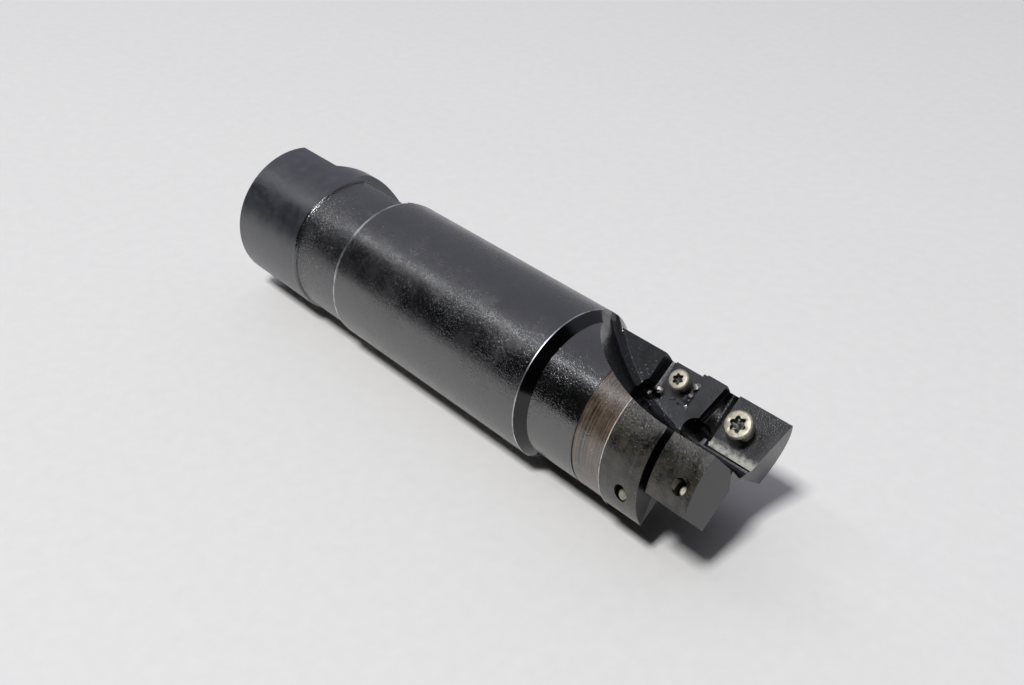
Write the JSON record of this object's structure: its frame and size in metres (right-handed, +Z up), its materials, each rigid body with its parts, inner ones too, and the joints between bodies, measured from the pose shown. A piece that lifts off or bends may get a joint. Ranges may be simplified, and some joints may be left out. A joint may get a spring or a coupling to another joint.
{
  "type": "indexable end mill",
  "caption": "Indexable end mill body with a straight clamping shank, two flats, two staggered teeth with empty insert seats, and the seat screws left in place.",
  "frame": {"origin": "middle of the tool's length, under the axis, at the height of the floor it lies on", "axes": "+X along the tool axis towards the cutting end, +Z up; the seats are turned 40 degrees about X"},
  "size_m": [0.1334, 0.032, 0.032],
  "materials": {
    "black_steel": "black oxide on turned and milled steel",
    "screw_steel": "pale coated screw steel"
  },
  "bodies": {
    "root": {"cutter_body": "black_steel", "front_screw_1": "screw_steel", "rear_screw_1": "screw_steel", "front_screw_2": "screw_steel", "rear_screw_2": "screw_steel"}
  },
  "joints": []
}
